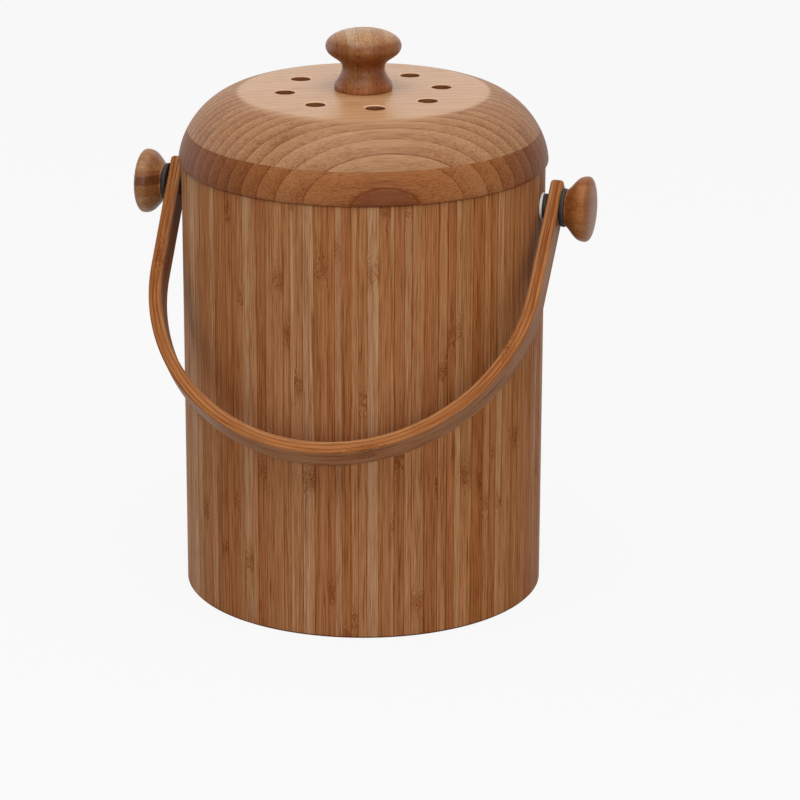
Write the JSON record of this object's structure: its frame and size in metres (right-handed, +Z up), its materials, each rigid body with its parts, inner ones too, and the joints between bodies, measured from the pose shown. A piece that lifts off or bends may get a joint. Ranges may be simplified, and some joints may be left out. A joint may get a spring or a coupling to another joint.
{
  "type": "countertop scrap pail with lift-off lid",
  "caption": "Round countertop scrap pail of laminated bamboo with a lift-off vented lid, a charcoal filter, a lift-out liner and a bent carrying bail.",
  "frame": {"origin": "centre of the flat base, on the surface that the pail stands on", "axes": "+Z up along the pail's axis, X along the bail's pivot axis, -Y the side on which the bail hangs"},
  "size_m": [0.238, 0.2021, 0.2905],
  "materials": {
    "bamboo_wall": "satin clear-coated bamboo strips",
    "bamboo_board": "satin bamboo board",
    "bamboo_lid_top": "satin turned bamboo board",
    "bamboo_lid_edge": "satin turned bamboo board, darker",
    "bamboo_knob": "satin turned bamboo",
    "bamboo_bail": "satin bent bamboo ply",
    "steel": "brushed",
    "brass": "turned",
    "nylon_white": "matt",
    "rubber_black": "matt",
    "silicone": "soft matt",
    "liner_plastic": "fine matt moulding",
    "handle_plastic": "fine matt moulding",
    "filter_plastic": "matt moulding",
    "charcoal": "charcoal felt"
  },
  "bodies": {
    "pail": {"wall_staves": "bamboo_wall", "base_board": "bamboo_board", "pivot_screws": "steel", "screw_washers": "steel", "nylon_washers": "nylon_white", "inner_rubber_washers": "rubber_black", "outer_rubber_washers": "rubber_black", "left_knob": "bamboo_knob", "right_knob": "bamboo_knob", "knob_inserts": "brass"},
    "bail": {"bail_inner_ply": "bamboo_bail", "bail_middle_ply": "bamboo_bail", "bail_outer_ply": "bamboo_bail"},
    "liner": {"liner_bucket": "liner_plastic"},
    "handle": {"liner_handle": "handle_plastic"},
    "lid": {"lid_lower_board": "bamboo_lid_edge", "lid_upper_board": "bamboo_lid_top", "lid_spigot": "bamboo_board", "lid_seal_ring": "silicone", "lid_knob": "bamboo_knob", "lid_knob_insert": "brass", "lid_knob_screw": "steel", "lid_knob_washer": "steel", "filter_ring": "filter_plastic"},
    "cover": {"filter_cover": "filter_plastic", "charcoal_filter": "charcoal"}
  },
  "joints": [
    {"name": "bail_swing", "type": "hinge", "parent": "pail", "child": "bail", "pos_m": [0, 0, 0.2049], "axis": [-1, 0, 0], "range_deg": [0, 271.6]},
    {"name": "liner_lift", "type": "slide", "parent": "pail", "child": "liner", "axis": [0, 0, 1], "range_m": [0, 0.24]},
    {"name": "lid_lift", "type": "slide", "parent": "liner", "child": "lid", "axis": [0, 0, 1], "range_m": [0, 0.25]},
    {"name": "handle_swing", "type": "hinge", "parent": "liner", "child": "handle", "pos_m": [0, 0, 0.2198], "axis": [-1, 0, 0], "range_deg": [0, 90]},
    {"name": "cover_pull", "type": "slide", "parent": "lid", "child": "cover", "axis": [0, 0, -1], "range_m": [0, 0.04]}
  ],
  "couplings": [
    {"joint": "handle_swing", "follows": "lid_lift", "rad_per_m": 6.28}
  ]
}
